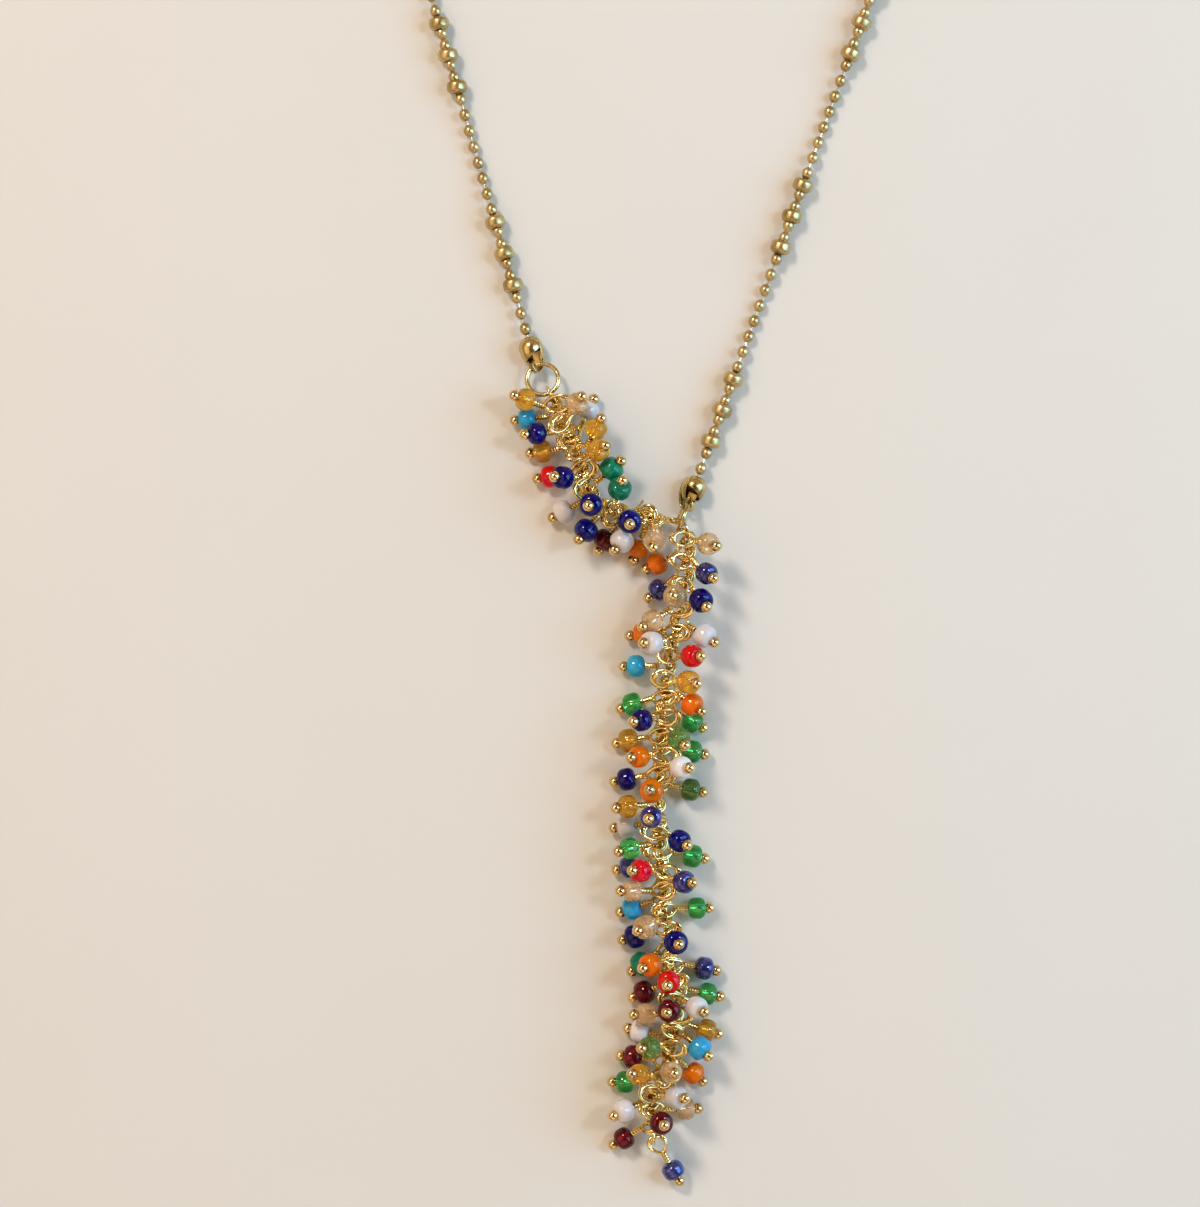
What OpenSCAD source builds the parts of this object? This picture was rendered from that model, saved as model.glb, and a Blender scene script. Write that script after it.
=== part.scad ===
// Lariat necklace laid flat: a ball chain round the neck, and a drop crowded with beaded pins

/* [Neck loop] */
// Angle between each side and the middle of the open loop
side_angle = 17.8; // [15:0.1:22]
// Turn of the whole loop towards the right
loop_turn = 2; // [-4:0.5:4]
// From where the sides would meet to the first rondelle of the left side
left_first = 51.2; // [48:0.1:56]
// From where the sides would meet to the first rondelle of the right side
right_first = 31.7; // [30:0.1:36]
// Groups of three rondelles on the left side
left_groups = 7; // [5:1:9]
// Groups of three rondelles on the right side
right_groups = 7; // [5:1:9]
// Balls between the front bead tip and the first group of the left side
left_lead = 4; // [3:1:5]
// Balls between the front bead tip and the first group of the right side
right_lead = 3; // [3:1:5]
// Balls after the last group of the left side
left_tail = 4; // [3:1:8]
// Balls after the last group of the right side
right_tail = 6; // [3:1:8]

/* [Ball chain] */
// Diameter of a chain ball
ball_d = 1.4; // [1.2:0.05:1.5]
// Spacing of the balls in a long run
ball_pitch = 2.04; // [1.8:0.02:2.4]
// Spacing of the two balls between neighbouring rondelles
pair_pitch = 1.6; // [1.5:0.02:1.9]
// Balls in a long run
run_balls = 8; // [4:1:10]
// Diameter of the wire that joins the balls
wire_d = 0.4; // [0.3:0.05:0.5]
// Diameter of a rondelle
rondelle_d = 2.5; // [2.3:0.1:3]
// Length of a rondelle
rondelle_l = 1.7; // [1.5:0.1:2]
// How deep a ball sits in the dished face of a rondelle
nest = 0.3; // [0.2:0.05:0.4]

/* [Bead tips and rings] */
// Outer diameter of the cup that holds the last ball
tip_d = 3; // [2.8:0.1:3.4]
// Wall of the cup
tip_wall = 0.25; // [0.2:0.05:0.35]
// From the middle of the cup to the middle of its eye
tip_l = 2.3; // [2.2:0.1:2.6]
// Radius of small eyes and links, to the middle of their wire
eye_r = 0.8; // [0.75:0.05:1]
// Wire of small eyes and links
eye_wire = 0.4; // [0.3:0.05:0.45]
// Radius of a jump ring, to the middle of its wire
ring_r = 1.97; // [1.9:0.05:2.3]
// Wire of a jump ring
ring_wire = 0.56; // [0.45:0.01:0.6]
// Compass direction of the left jump ring, from the bead tip to the drop
left_ring_run = -63; // [-75:1:-50]

/* [Clasp] */
// From the middle of the clasp's eye to the middle of its hook
clasp_l = 7; // [6:0.5:9]
// Radius of the hook, to the middle of its wire
hook_r = 1.6; // [1.4:0.1:2]
// Wire of the clasp
clasp_wire = 0.8; // [0.6:0.05:0.9]

/* [Drop] */
// Outer width of the drop's fine chain
chain_w = 0.8; // [0.6:0.05:0.9]
// Height of the fine chain over the surface
chain_lift = 2.3; // [2.2:0.1:2.8]
// Wire of a head pin
pin_d = 0.38; // [0.3:0.02:0.42]
// Ball at the head of a pin
head_d = 1.45; // [1.3:0.05:1.6]
// Radius of a pin's loop, to the middle of its wire
loop_r = 1.15; // [1.05:0.05:1.25]
// Diameter of the wrapped neck of a pin
neck_d = 0.9; // [0.8:0.05:1]
// Length of the wrapped neck, from the loop's wire
neck_l = 1.4; // [1:0.05:1.5]
// Diameter of a seed bead
bead_d = 3; // [2.8:0.05:3.05]
// Length of a seed bead along its hole
bead_l = 2.3; // [2:0.05:2.4]
// Hole of a seed bead
bead_hole = 0.8; // [0.7:0.05:1]

/* [Hidden] */

// Room between loose pieces
clearance = 0.12;
// Smoothness of round shapes
$fn = 24;

gold = "#caa53a";
light_gold = "#e3c469";

// Heights at which the pieces lie
tip_z = max(tip_d, bead_d) / 2;
ball_z = ball_d / 2;
rondelle_z = rondelle_d / 2;
upright_z = ring_r + ring_wire / 2;
// Half of the width of an upright ring where it crosses the bead tips' eyes
upright_half = sqrt(pow(ring_r, 2) - pow(upright_z - tip_z, 2));

// Steps along a side
seat_step = (rondelle_l + ball_d) / 2 - nest;
run_step = (rondelle_l + ball_d) / 2 + clearance / 2;
pair_l = 2 * seat_step + pair_pitch;
repeat_l = 2 * pair_l + 2 * run_step + (run_balls - 1) * ball_pitch;
// The last ball is drawn against the inside of the cup
tip_slack = tip_d / 2 - tip_wall - ball_d / 2 - clearance;
tip_reach = tip_slack + tip_l;

// Ends of the sides, as distances along them
left_start = left_first - run_step - (left_lead - 1) * ball_pitch;
right_start = right_first - run_step - (right_lead - 1) * ball_pitch;
left_end = left_first + group_end(left_groups, left_tail);
right_end = right_first + group_end(right_groups, right_tail);
clasp_reach = tip_reach + 2 * upright_half;
round_l = left_end + right_end + 2 * clasp_reach + clasp_l;
neck_r = round_l / 2 / (1 / tan(side_angle) + (90 + side_angle) * PI / 180);
straight_l = neck_r / tan(side_angle);

// The loop in plan, measured from where its sides would meet
loop_centre = turned([0, neck_r / sin(side_angle)]);
clasp_at = left_end + clasp_reach + clasp_l / 2;

function group_end(groups, tail) =
    (groups - 1) * repeat_l + 2 * pair_l + run_step + (tail - 1) * ball_pitch;
function turned(p) = [
    p.x * cos(loop_turn) + p.y * sin(loop_turn),
    p.y * cos(loop_turn) - p.x * sin(loop_turn)
];
function way(angle) = [cos(angle), sin(angle)];
function arc_angle(s) = (s - straight_l) / neck_r * 180 / PI - side_angle;

// Place and heading on a side, -1 left or 1 right, at a distance s along it
function side_at(side, s) = turned(
    s < straight_l
    ? s * [side * sin(side_angle), cos(side_angle)]
    : neck_r * [side * cos(arc_angle(s)), sin(arc_angle(s)) + 1 / sin(side_angle)]);
function side_way(side, s) =
    90 - loop_turn + side * (s < straight_l ? -side_angle : arc_angle(s));

// Distances of the rondelles of a side, and of its raised places with their heights
function rondelle_stops(first, groups) =
    [for (g = [0:groups - 1], i = [0:2]) first + g * repeat_l + i * pair_l];
function raised(first, groups, start, end) = concat(
    [for (s = rondelle_stops(first, groups)) [s, rondelle_z]],
    [[start, tip_z], [end, tip_z]]);
// Share of the full height at a distance from a raised place
function slope(d) = let (hold = run_step + clearance, fall = 2.5 * ball_pitch)
    d < hold ? 1 : (1 + cos(180 * min(1, (d - hold) / fall))) / 2;
function chain_z(s, raises) =
    max([for (r = raises) ball_z + (r[1] - ball_z) * slope(abs(s - r[0]))]);
function chain_at(side, s, raises) = let (p = side_at(side, s)) [p.x, p.y, chain_z(s, raises)];

// Balls of run k, where runs meet inside the middle rondelle of each group
function pair_stops(s) = [s + seat_step, s + seat_step + pair_pitch];
function run_stops(first, k, groups, lead, tail) = concat(
    k > 0 ? pair_stops(first + (k - 1) * repeat_l + pair_l) : [],
    k > 0
    ? [for (i = [0:(k < groups ? run_balls : tail) - 1])
        first + (k - 1) * repeat_l + 2 * pair_l + run_step + i * ball_pitch]
    : [for (i = [lead - 1:-1:0]) first - run_step - i * ball_pitch],
    k < groups ? pair_stops(first + k * repeat_l) : []);

// Front ends: eyes of the bead tips, jump rings, and the two ends of the upper drop
left_eye = side_at(-1, left_start - tip_reach);
right_eye = side_at(1, right_start - tip_reach);
left_ring_pitch = asin((chain_lift - tip_z) / 2 / ring_r);
left_ring = left_eye + ring_r * cos(left_ring_pitch) * way(left_ring_run);
top_link = 2 * left_ring - left_eye;
right_run = side_way(1, right_start) + 180;
right_ring = right_eye + upright_half * way(right_run);
junction = right_ring + (upright_half - (ring_wire + chain_w) / 2 - 4 * clearance) * way(right_run);

// Route of the drop, in plan: hand-laid bends above the junction, and offsets from it below
UPPER_ROUTE = [[-7.2, 31.3], [-6, 28.6], [-5.3, 26], [-4.5, 23.6], [-2.5, 21.7], [0.3, 20.8], [3.4, 20.2]];
LOWER_ROUTE = [
    [0.7, -2.5], [0.7, -6.2], [0, -10], [-1, -14.4], [-1.8, -19.4], [-2.4, -24.4], [-2.7, -29.4],
    [-2.9, -34.4], [-2.7, -39.4], [-2.4, -44.4], [-2, -49.4], [-1.3, -54.4], [-0.6, -59.4],
    [-1.2, -64.4], [-2.6, -68.8], [-3.5, -71.8], [-3.5, -75.2],
];
link_reach = eye_r + eye_wire / 2 + clearance;
top_way = way(atan2(UPPER_ROUTE[1].y - top_link.y, UPPER_ROUTE[1].x - top_link.x));
drop_points = curve(concat(
    [top_link + link_reach * top_way], UPPER_ROUTE, [junction],
    [for (p = LOWER_ROUTE) junction + p]), 6);
drop_runs = lengths(drop_points);
drop_l = drop_runs[len(drop_runs) - 1];
drop_x = [for (i = [0:len(drop_points) - 1]) [drop_runs[i], drop_points[i].x]];
drop_y = [for (i = [0:len(drop_points) - 1]) [drop_runs[i], drop_points[i].y]];
junction_at = drop_runs[6 * (len(UPPER_ROUTE) + 1)];

function spline(a, b, c, d, t) = 0.5 * (2 * b + (c - a) * t + (2 * a - 5 * b + 4 * c - d) * t * t
    + (3 * b - a - 3 * c + d) * t * t * t);
function curve(p, steps) = let (last = len(p) - 1) [
    for (i = [0:last - 1], k = [0:steps - 1])
        spline(p[max(i - 1, 0)], p[i], p[i + 1], p[min(i + 2, last)], k / steps),
    p[last]
];
function lengths(p) = [
    for (i = 0, s = 0; i < len(p); i = i + 1, s = s + (i < len(p) ? norm(p[i] - p[i - 1]) : 0)) s
];
function drop_at(s) = [lookup(s, drop_x), lookup(s, drop_y)];
function drop_way(s) = let (d = drop_at(s + chain_w / 2) - drop_at(s - chain_w / 2)) atan2(d.y, d.x);

// The chain stands off the middle of a loop, and a loop follows part of its pin's swing
loop_offset = loop_r - (pin_d + chain_w) / 2 - 2 * clearance;
loop_share = 0.35;
// From the loop's wire to the middle of the bead, and from there to the head
bead_at = neck_l + clearance + bead_l / 2;
head_at = (bead_l + head_d) / 2 - nest;
pin_reach = loop_offset + loop_r + bead_at;

// Dangles in their order down the drop. The side is -1 towards the lower left and 1 towards the
// upper right, the swing leans a pin towards the free end, and the tier names its slope
SIDE = 0;
SWING = 1;
TIER = 2;
COLOUR = 3;
// Slope of the pins of each tier: resting on the surface, leaning, lifted and steep
tier_slope = [-asin((chain_lift - tip_z) / pin_reach), 22, 50, 76];
UPPER_DANGLES = [
    [-1, -45, 1, "amber"], [-1, -20, 0, "sky"], [1, -30, 2, "peach"], [-1, -20, 1, "navy"],
    [1, -40, 0, "white"], [-1, -15, 0, "amber"], [1, -45, 1, "amber"], [1, -20, 2, "amber"],
    [-1, -5, 0, "red"], [-1, -20, 2, "navy"], [1, -15, 1, "teal"], [-1, -10, 0, "white"],
    [-1, -20, 3, "navy"], [-1, -10, 1, "navy"], [1, 0, 2, "teal"], [-1, -20, 0, "garnet"],
    [-1, 10, 3, "navy"], [-1, -30, 1, "white"], [-1, -10, 0, "orange"], [-1, 0, 2, "peach"],
];
MIDDLE_DANGLES = [
    [1, 20, 2, "peach"], [-1, 25, 0, "orange"], [1, 35, 2, "steel"], [-1, 45, 0, "steel"],
    [1, 40, 2, "navy"], [-1, 0, 3, "peach"], [-1, 45, 1, "peach"], [1, 20, 1, "white"],
    [-1, 20, 0, "orange"], [-1, 10, 2, "white"], [1, -10, 2, "red"], [-1, 10, 0, "sky"],
];
LOWER_DANGLES = [
    [1, 0, 2, "amber"], [1, 30, 1, "orange"], [-1, 25, 0, "green"], [1, 25, 0, "green"],
    [-1, 15, 2, "navy"], [1, 40, 2, "olive"], [-1, 15, 0, "amber"], [1, 10, 0, "green"],
    [-1, 5, 2, "orange"], [1, 0, 2, "white"], [-1, 15, 0, "navy"], [1, 10, 0, "olive"],
    [-1, -40, 3, "orange"], [-1, 5, 1, "amber"], [-1, 20, 3, "steel"], [-1, 5, 0, "white"],
    [1, 30, 2, "navy"], [-1, 10, 1, "green"], [1, 15, 0, "green"], [-1, 10, 0, "steel"],
    [-1, -10, 2, "red"], [1, 5, 2, "steel"], [-1, -5, 1, "peach"], [-1, 15, 0, "sky"],
    [1, 5, 0, "green"], [-1, 15, 2, "peach"], [-1, 10, 0, "navy"], [1, 30, 3, "navy"],
    [-1, 30, 0, "teal"],
];
TAIL_DANGLES = [
    [-1, 10, 2, "orange"], [1, 20, 0, "steel"], [-1, 50, 3, "red"], [-1, 15, 0, "garnet"],
    [1, 20, 0, "green"], [1, 30, 2, "white"], [-1, 20, 3, "garnet"], [-1, 5, 1, "peach"],
    [1, 10, 0, "amber"], [1, 30, 1, "sky"], [-1, 0, 0, "white"], [-1, 15, 2, "olive"],
    [1, 25, 0, "orange"], [-1, 15, 0, "garnet"], [1, -30, 3, "peach"], [-1, 5, 2, "amber"],
    [-1, 20, 0, "green"], [1, -15, 2, "white"], [-1, 30, 1, "white"], [1, 0, 0, "peach"],
    [1, 20, 3, "garnet"], [-1, 30, 0, "garnet"],
];
END_DANGLE = [1, 28, 0, "steel"];

// Where each list of dangles starts and ends, as shares of the lengths above and below the junction
UPPER_SPAN = [0.02, 0.87];
MIDDLE_SPAN = [0.03, 0.24];
LOWER_SPAN = [0.26, 0.70];
TAIL_SPAN = [0.716, 0.993];
// The dangles never stand closer than the beads allow
crowding = 0.34 * bead_d;

function slope_of(row) = tier_slope[row[TIER]];
function pointing(angle, lift) = [cos(lift) * cos(angle), cos(lift) * sin(angle), sin(lift)];
// A dangle is its colour, its loop's middle and plan angle, the loop's outer point and the pin's way
function dangle(row, s) =
    let (
        a = drop_way(s), square = row[SIDE] * 90, lean = row[SIDE] * row[SWING], p = drop_at(s),
        loop_a = a + square - loop_share * lean, out = pointing(loop_a, slope_of(row)),
        middle = [p.x, p.y, chain_lift] + loop_offset * out)
    [row[COLOUR], middle, loop_a, middle + loop_r * out, pointing(a + square - lean, slope_of(row))];
function dangles(rows, from, to) =
    let (pitch = max(crowding, (to - from) / (len(rows) - 1)))
    [for (i = [0:len(rows) - 1]) if (from + i * pitch < to + crowding / 2) dangle(rows[i], from + i * pitch)];
// A place below the junction from its share of the length there
function below(share) = junction_at + share * (drop_l - junction_at);

// The last dangle hangs in the end link
end_way = drop_way(drop_l);
end_link = drop_at(drop_l) + link_reach * way(end_way);
end_pin_way = end_way + END_DANGLE[SWING];
end_dangle = [
    END_DANGLE[COLOUR], concat(end_link + loop_r * way(end_pin_way), chain_lift), end_pin_way,
    concat(end_link + 2 * loop_r * way(end_pin_way), chain_lift), pointing(end_pin_way, tier_slope[0]),
];
all_dangles = concat(
    dangles(UPPER_DANGLES, UPPER_SPAN[0] * junction_at, UPPER_SPAN[1] * junction_at),
    dangles(MIDDLE_DANGLES, below(MIDDLE_SPAN[0]), below(MIDDLE_SPAN[1])),
    dangles(LOWER_DANGLES, below(LOWER_SPAN[0]), below(LOWER_SPAN[1])),
    dangles(TAIL_DANGLES, below(TAIL_SPAN[0]), below(TAIL_SPAN[1])));

// The origin is under the middle of the whole piece as it lies
hook_at = side_at(1, right_end + clasp_reach);
low_y = end_dangle[3].y + (bead_at + head_at) * end_dangle[4].y - head_d / 2;
origin = [loop_centre.x, (hook_at.y + hook_r + clasp_wire / 2 + low_y) / 2, 0];

module laid() {
    translate(-origin) children();
}

module rod(a, b, d) {
    run = b - a;
    translate(a)
        rotate([0, acos(run.z / norm(run)), atan2(run.y, run.x)])
            cylinder(d = d, h = norm(run));
}

module wire_ring(r, wire) {
    rotate_extrude() translate([r, 0]) circle(d = wire);
}

module flat_ring(p, z, r, wire) {
    translate([p.x, p.y, z]) wire_ring(r, wire);
}

// A ring that stands on edge along a plan angle
module upright_ring(p, z, angle, r, wire) {
    translate([p.x, p.y, z]) rotate([90, 0, angle]) wire_ring(r, wire);
}

// A round bead with flat ends, drilled along Z, with a dish in its ends for a ball
module drilled_bead(d, l, hole, dish_d, dish_at, ends) {
    difference() {
        intersection() {
            sphere(d = d);
            cylinder(d = 2 * d, h = l, center = true);
        }
        cylinder(d = hole, h = 2 * l, center = true);
        for (end = ends) translate([0, 0, end * dish_at]) sphere(d = dish_d);
    }
}

// Wire and balls of one run, from one middle rondelle to the next
module ball_run(side, raises, stops, from, to) {
    at = concat([from], stops, [to]);
    inset = ball_d / 4;
    // The seam of each ball is turned clear of the wire
    for (s = stops) translate(chain_at(side, s, raises))
        rotate([0, 0, side_way(side, s) + 45]) sphere(d = ball_d);
    for (i = [0:len(at) - 2])
        if (at[i + 1] > at[i]) {
            a = chain_at(side, at[i], raises);
            b = chain_at(side, at[i + 1], raises);
            along = (b - a) / norm(b - a);
            rod(i > 0 ? a + inset * along : a, i < len(stops) ? b - inset * along : b, wire_d);
        }
}

module ball_chain(side, first, groups, lead, tail, start, end) {
    raises = raised(first, groups, start, end);
    color(gold) laid() for (k = [0:groups]) {
        stops = run_stops(first, k, groups, lead, tail);
        middle = first + k * repeat_l + pair_l;
        from = k > 0 ? middle - repeat_l + clearance / 2 : stops[0];
        to = k < groups ? middle - clearance / 2 : stops[len(stops) - 1];
        ball_run(side, raises, stops, from, to);
    }
}

module rondelles(side, first, groups) {
    color(gold) laid() for (s = rondelle_stops(first, groups)) {
        p = side_at(side, s);
        translate([p.x, p.y, rondelle_z]) rotate([0, 90, side_way(side, s)])
            drilled_bead(rondelle_d, rondelle_l, wire_d + 2 * clearance, ball_d + 2 * clearance,
                seat_step, [-1, 1]);
    }
}

// Cup with a window, a tapered neck and an eye that points along +X and is rolled about it
module bead_tip(p, angle, roll) {
    cup = tip_d / 2;
    neck_at = 0.7 * cup;
    translate([p.x, p.y, tip_z]) rotate([0, 0, angle]) difference() {
        union() {
            sphere(d = tip_d);
            rotate([roll, 0, 0]) {
                translate([neck_at, 0, 0]) rotate([0, 90, 0])
                    cylinder(r1 = 0.66 * cup, r2 = eye_wire, h = tip_l - eye_r - neck_at);
                translate([tip_l, 0, 0]) wire_ring(eye_r, eye_wire);
            }
        }
        sphere(d = tip_d - 2 * tip_wall);
        rotate([0, -90, 0]) cylinder(d = wire_d + 4 * clearance, h = tip_d);
        rotate([roll / 2, 0, 0]) translate([0.35 * cup, 0, 0]) cylinder(r = 0.42 * cup, h = tip_d);
    }
}

module front_tip(side, start, roll) {
    color(gold) laid() bead_tip(side_at(side, start - tip_slack), side_way(side, start) + 180, roll);
}

module back_tip(side, end) {
    color(gold) laid() bead_tip(side_at(side, end + tip_slack), side_way(side, end + tip_slack), 0);
}

module jump_ring_left() {
    // The ring rises from the bead tip to the height of the drop's chain
    color(gold) laid() translate([left_ring.x, left_ring.y, (tip_z + chain_lift) / 2])
        rotate([0, -left_ring_pitch, left_ring_run]) wire_ring(ring_r, ring_wire);
}

module jump_ring_right() {
    color(gold) laid() upright_ring(right_ring, upright_z, right_run, ring_r, ring_wire);
}

module clasp_ring(side, end) {
    s = end + tip_reach + upright_half;
    color(gold) laid() upright_ring(side_at(side, s), upright_z, side_way(side, s), ring_r, ring_wire);
}

module clasp() {
    p = side_at(-1, clasp_at);
    body_from = eye_r - clasp_l / 2;
    body_to = clasp_l / 2 - hook_r;
    color(gold) laid() translate([p.x, p.y, tip_z]) rotate([0, 0, side_way(-1, clasp_at)]) {
        translate([-clasp_l / 2, 0, 0]) wire_ring(eye_r, eye_wire);
        translate([clasp_l / 2, 0, 0]) wire_ring(hook_r, clasp_wire);
        translate([body_from, 0, 0]) rotate([0, 90, 0]) cylinder(d = 2 * clasp_wire, h = body_to - body_from);
    }
}

module drop_link_top() {
    color(gold) laid()
        upright_ring(top_link, chain_lift, atan2(top_way.y, top_way.x), eye_r, eye_wire);
}

module drop_link_end() {
    color(gold) laid() upright_ring(end_link, chain_lift, end_way, eye_r, eye_wire);
}

// The fine chain as one round tube of its outer width
module drop_chain() {
    sides = 8;
    rings = ceil(drop_l / (2.6 * chain_w));
    points = [
        for (i = [0:rings], k = [0:sides - 1])
            let (s = drop_l * i / rings, p = drop_at(s), across = way(drop_way(s) + 90),
                turn = (k + 0.5) * 360 / sides, r = chain_w / 2 / cos(180 / sides) * way(turn))
            [p.x + r.x * across.x, p.y + r.x * across.y, chain_lift + r.y]
    ];
    walls = [
        for (i = [0:rings - 1], k = [0:sides - 1])
            let (a = i * sides, b = a + sides, next = (k + 1) % sides)
            [a + k, b + k, b + next, a + next]
    ];
    ends = [
        [for (k = [0:sides - 1]) k],
        [for (k = [sides - 1:-1:0]) rings * sides + k]
    ];
    color(gold) laid() polyhedron(concat(points), concat(walls, ends));
}

// One head pin: a loop round the chain, a wrapped neck, a stem and a ball
module head_pin(d) {
    translate(d[1]) rotate([90, 0, d[2]]) wire_ring(loop_r, pin_d);
    translate(d[3]) rotate([0, acos(d[4].z), atan2(d[4].y, d[4].x)]) {
        cylinder(d = neck_d, h = neck_l);
        translate([0, 0, neck_l / 2]) cylinder(d = pin_d, h = bead_at + head_at - neck_l / 2);
        translate([0, 0, bead_at + head_at]) sphere(d = head_d);
    }
}

// The last pin lies with its loop flat, through the upright end link
module end_pin() {
    d = end_dangle;
    flat_ring(d[1], chain_lift, loop_r, pin_d);
    translate(d[3]) rotate([0, acos(d[4].z), atan2(d[4].y, d[4].x)]) {
        cylinder(d = neck_d, h = neck_l);
        translate([0, 0, neck_l / 2]) cylinder(d = pin_d, h = bead_at + head_at - neck_l / 2);
        translate([0, 0, bead_at + head_at]) sphere(d = head_d);
    }
}

module head_pins() {
    color(light_gold) laid() {
        for (d = all_dangles) head_pin(d);
        end_pin();
    }
}

// The seed beads of one colour of glass
module beads(colour, shade) {
    color(shade) laid() for (d = concat(all_dangles, [end_dangle]))
        if (d[0] == colour)
            translate(d[3] + bead_at * d[4]) rotate([0, acos(d[4].z), atan2(d[4].y, d[4].x)])
                drilled_bead(bead_d, bead_l, bead_hole, head_d + 2 * clearance, head_at, [1]);
}

ball_chain(-1, left_first, left_groups, left_lead, left_tail, left_start, left_end);  // ball_chain_left
ball_chain(1, right_first, right_groups, right_lead, right_tail, right_start, right_end);  // ball_chain_right
rondelles(-1, left_first, left_groups);  // rondelles_left
rondelles(1, right_first, right_groups);  // rondelles_right
front_tip(-1, left_start, 90);  // bead_tip_left
front_tip(1, right_start, 0);  // bead_tip_right
back_tip(-1, left_end);  // clasp_tip_left
back_tip(1, right_end);  // clasp_tip_right
jump_ring_left();
jump_ring_right();
clasp_ring(-1, left_end);  // clasp_ring_left
clasp_ring(1, right_end);  // clasp_ring_right
clasp();
drop_link_top();
drop_link_end();
drop_chain();
head_pins();
beads("sky", "#4fb0d6");  // beads_sky
beads("navy", "#12127a");  // beads_navy
beads("steel", "#3f4f96");  // beads_steel
beads("red", "#d0101c");  // beads_red
beads("garnet", "#5c0a18");  // beads_garnet
beads("teal", "#128a6c");  // beads_teal
beads("green", "#2f9a46");  // beads_green
beads("olive", "#3f5226");  // beads_olive
beads("orange", "#e2700f");  // beads_orange
beads("amber", "#c48a30");  // beads_amber
beads("peach", "#cfa284");  // beads_peach
beads("white", "#e4dfe4");  // beads_white
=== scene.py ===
import math
import random
import bpy
import numpy as np
from mathutils import Matrix, Vector


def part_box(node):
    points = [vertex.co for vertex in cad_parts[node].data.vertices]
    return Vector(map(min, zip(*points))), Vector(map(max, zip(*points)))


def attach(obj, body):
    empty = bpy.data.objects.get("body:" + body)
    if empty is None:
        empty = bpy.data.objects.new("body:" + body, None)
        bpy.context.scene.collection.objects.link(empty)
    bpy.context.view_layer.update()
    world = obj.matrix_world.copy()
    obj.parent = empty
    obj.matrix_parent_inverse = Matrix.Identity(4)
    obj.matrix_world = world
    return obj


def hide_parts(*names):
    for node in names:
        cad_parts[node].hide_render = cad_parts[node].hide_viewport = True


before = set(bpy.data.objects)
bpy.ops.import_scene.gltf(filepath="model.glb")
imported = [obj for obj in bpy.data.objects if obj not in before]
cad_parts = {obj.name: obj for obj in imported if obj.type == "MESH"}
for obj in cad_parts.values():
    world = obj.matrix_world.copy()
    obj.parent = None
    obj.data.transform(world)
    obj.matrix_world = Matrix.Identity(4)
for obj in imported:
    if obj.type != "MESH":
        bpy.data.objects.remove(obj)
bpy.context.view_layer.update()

mm = 0.001
up = Vector((0, 0, 1))
closePoints = 1e-4  # millimetres within which points of a model count as one
cutPrecision = 1e-5
chance = random.Random(7)
print("frame loaded:", len(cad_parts), "nodes")


# Selecting, copying and joining. All models are made in millimetres at the origin

def selectNothing():
    if bpy.context.object and bpy.context.object.mode != "OBJECT":
        bpy.ops.object.mode_set(mode="OBJECT")
    bpy.ops.object.select_all(action="DESELECT")


def selectOnly(parts):
    selectNothing()
    for part in parts:
        part.select_set(True)
    bpy.context.view_layer.objects.active = parts[0]


def begin(primitive, **how):
    selectNothing()
    primitive(**how)
    return bpy.context.object


# Goes into edit mode with only the chosen points, edges or faces selected
def pick(part, kind, wanted):
    selectOnly([part])
    kinds = ("points", "edges", "faces")
    bpy.context.tool_settings.mesh_select_mode = [kind == one for one in kinds]
    mesh = part.data
    for things in (mesh.vertices, mesh.edges, mesh.polygons):
        things.foreach_set("select", [False] * len(things))
    if kind == "points":
        for point in mesh.vertices:
            point.select = wanted(point.co)
    if kind == "edges":
        for edge in mesh.edges:
            edge.select = wanted(*[mesh.vertices[i].co for i in edge.vertices])
    if kind == "faces":
        for face in mesh.polygons:
            face.select = wanted(face.center, face.normal)
    bpy.ops.object.mode_set(mode="EDIT")


def pickAll(part):
    pick(part, "faces", lambda centre, normal: True)


# Blender gives the faces of a sphere in a new order each time. Sorted by their distance from an odd point,
# they are the same in each run. Its edges still vary, which can move a few corners of a bead tip
def addSphere(**how):
    ball = begin(bpy.ops.mesh.primitive_uv_sphere_add, **how)
    pickAll(ball)
    bpy.context.scene.cursor.location = (3.1, 1.7, 0.7)
    bpy.ops.mesh.sort_elements(type="CURSOR_DISTANCE", elements={"VERT", "EDGE", "FACE"})
    bpy.context.scene.cursor.location = (0, 0, 0)
    bpy.ops.object.mode_set(mode="OBJECT")
    return ball


# Edges round the ends of an upright cylinder, and its end faces
def isLevel(a, b):
    return abs(a.z - b.z) < closePoints


def isEnd(centre, normal):
    return abs(normal.z) > 0.999


# Cuts off what lies beyond a plane, and leaves the cut open
def cut(part, point, normal):
    pickAll(part)
    bpy.ops.mesh.bisect(plane_co=point, plane_no=normal, clear_outer=True, threshold=cutPrecision)


def modify(part, kind, **values):
    selectOnly([part])
    modifier = part.modifiers.new(kind.lower(), kind)
    for key, value in values.items():
        setattr(modifier, key, value)
    bpy.ops.object.modifier_apply(modifier=modifier.name)


# Rounds off the sharp edges of a part
def soften(part, width, segments=2):
    modify(
        part, "BEVEL", width=width, segments=segments, limit_method="ANGLE",
        angle_limit=math.radians(50))


def smooth(part, angle):
    selectOnly([part])
    bpy.ops.object.shade_smooth_by_angle(angle=math.radians(angle))


# Merges and closes a mesh and turns its faces outwards
def outwards(part):
    pickAll(part)
    bpy.ops.mesh.remove_doubles(threshold=closePoints)
    bpy.ops.mesh.fill_holes(sides=0)
    bpy.ops.mesh.normals_make_consistent(inside=False)
    bpy.ops.object.mode_set(mode="OBJECT")


def join(parts):
    selectOnly(parts)
    if len(parts) > 1:
        bpy.ops.object.join()
    return bpy.context.object


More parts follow.
